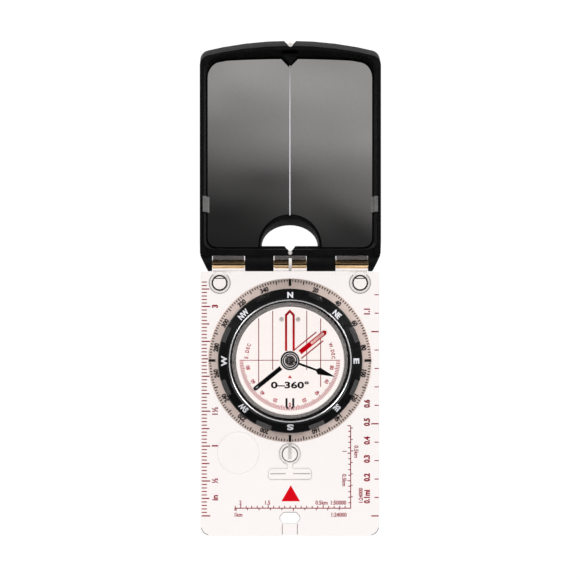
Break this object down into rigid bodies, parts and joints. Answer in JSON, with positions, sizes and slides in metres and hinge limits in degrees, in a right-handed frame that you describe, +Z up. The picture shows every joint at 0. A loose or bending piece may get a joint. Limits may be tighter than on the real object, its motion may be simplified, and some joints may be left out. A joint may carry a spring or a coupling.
{
  "type": "mirror sighting baseplate compass",
  "caption": "Clear baseplate compass with a hinged mirror lid, a turning dial, a liquid capsule with adjustable declination, a needle and a clinometer.",
  "frame": {"origin": "centre of the opened compass's bounding box, on the surface that it lies on", "axes": "+Z up out of the dial; +Y from the plate towards the opened lid, the direction of travel; +X to the right seen from above"},
  "size_m": [0.065, 0.1795, 0.0138],
  "materials": {
    "clear_acrylic": "clear polished acrylic",
    "black_plastic": "satin black moulded plastic",
    "mirror_glass": "polished mirror",
    "foam_tape": "foam adhesive tape",
    "brass": "turned brass",
    "steel": "fine turned steel",
    "magnet_steel": "dark nickel plate",
    "silicone": "frosted silicone",
    "luminous": "luminous resin",
    "dial_face": "matt luminous beige plastic with printed scale",
    "red_plastic": "red printed plastic",
    "luminous_red": "pink luminous resin",
    "jewel": "polished synthetic sapphire"
  },
  "bodies": {
    "base": {"baseplate": "clear_acrylic", "hinge_pin": "brass", "foot_rear_left": "silicone", "foot_rear_right": "silicone", "foot_front": "silicone", "index_mark_rear": "luminous", "index_mark_front": "luminous"},
    "lid": {"lid_shell": "black_plastic", "mirror_adhesive_pad": "foam_tape", "mirror": "mirror_glass", "mirror_clip_left": "clear_acrylic", "mirror_clip_right": "clear_acrylic", "sight_rod_top": "luminous", "sight_rod_low": "luminous"},
    "dial": {"bezel_ring": "black_plastic", "dial_scale_ring": "dial_face", "dial_base_disc": "clear_acrylic"},
    "declination_drive": {"declination_screw": "brass"},
    "capsule": {"capsule_case": "clear_acrylic", "capsule_crystal": "clear_acrylic", "crystal_ring": "steel", "pivot_pin": "steel", "capsule_fill_plug": "clear_acrylic", "luminous_dot_left": "luminous", "luminous_dot_right": "luminous"},
    "needle": {"needle_card": "clear_acrylic", "needle_north": "red_plastic", "needle_luminous_insert": "luminous_red", "needle_south": "black_plastic", "needle_hub_ring": "black_plastic"},
    "magnet": {"magnet_cradle": "steel", "ring_magnet": "magnet_steel", "jewel_cup": "steel", "pivot_jewel": "jewel"},
    "clinometer": {"clinometer_pointer": "black_plastic"}
  },
  "joints": [
    {"name": "lid_hinge", "type": "hinge", "parent": "base", "child": "lid", "pos_m": [0, 0.0091, 0.009], "axis": [1, 0, 0], "range_deg": [0, 180]},
    {"name": "dial_turn", "type": "hinge", "parent": "base", "child": "dial", "pos_m": [0, -0.026, 0], "axis": [0, 0, 1], "continuous": true},
    {"name": "declination_turn", "type": "hinge", "parent": "dial", "child": "capsule", "pos_m": [0, -0.026, 0], "axis": [0, 0, 1], "range_deg": [-90, 90]},
    {"name": "declination_screw_turn", "type": "hinge", "parent": "dial", "child": "declination_drive", "pos_m": [0, -0.04844, 0], "axis": [0, 0, 1], "range_deg": [-1400, 1400]},
    {"name": "needle_turn", "type": "hinge", "parent": "capsule", "child": "needle", "pos_m": [0, -0.026, 0], "axis": [0, 0, 1], "continuous": true},
    {"name": "magnet_tilt", "type": "hinge", "parent": "needle", "child": "magnet", "pos_m": [0, -0.026, 0.0069], "axis": [0.6293, -0.7771, 0], "range_deg": [-12, 12]},
    {"name": "clinometer_swing", "type": "hinge", "parent": "capsule", "child": "clinometer", "pos_m": [0, -0.026, 0], "axis": [0, 0, 1], "continuous": true}
  ],
  "couplings": [
    {"joint": "declination_screw_turn", "follows": "declination_turn", "ratio": -15.5}
  ]
}
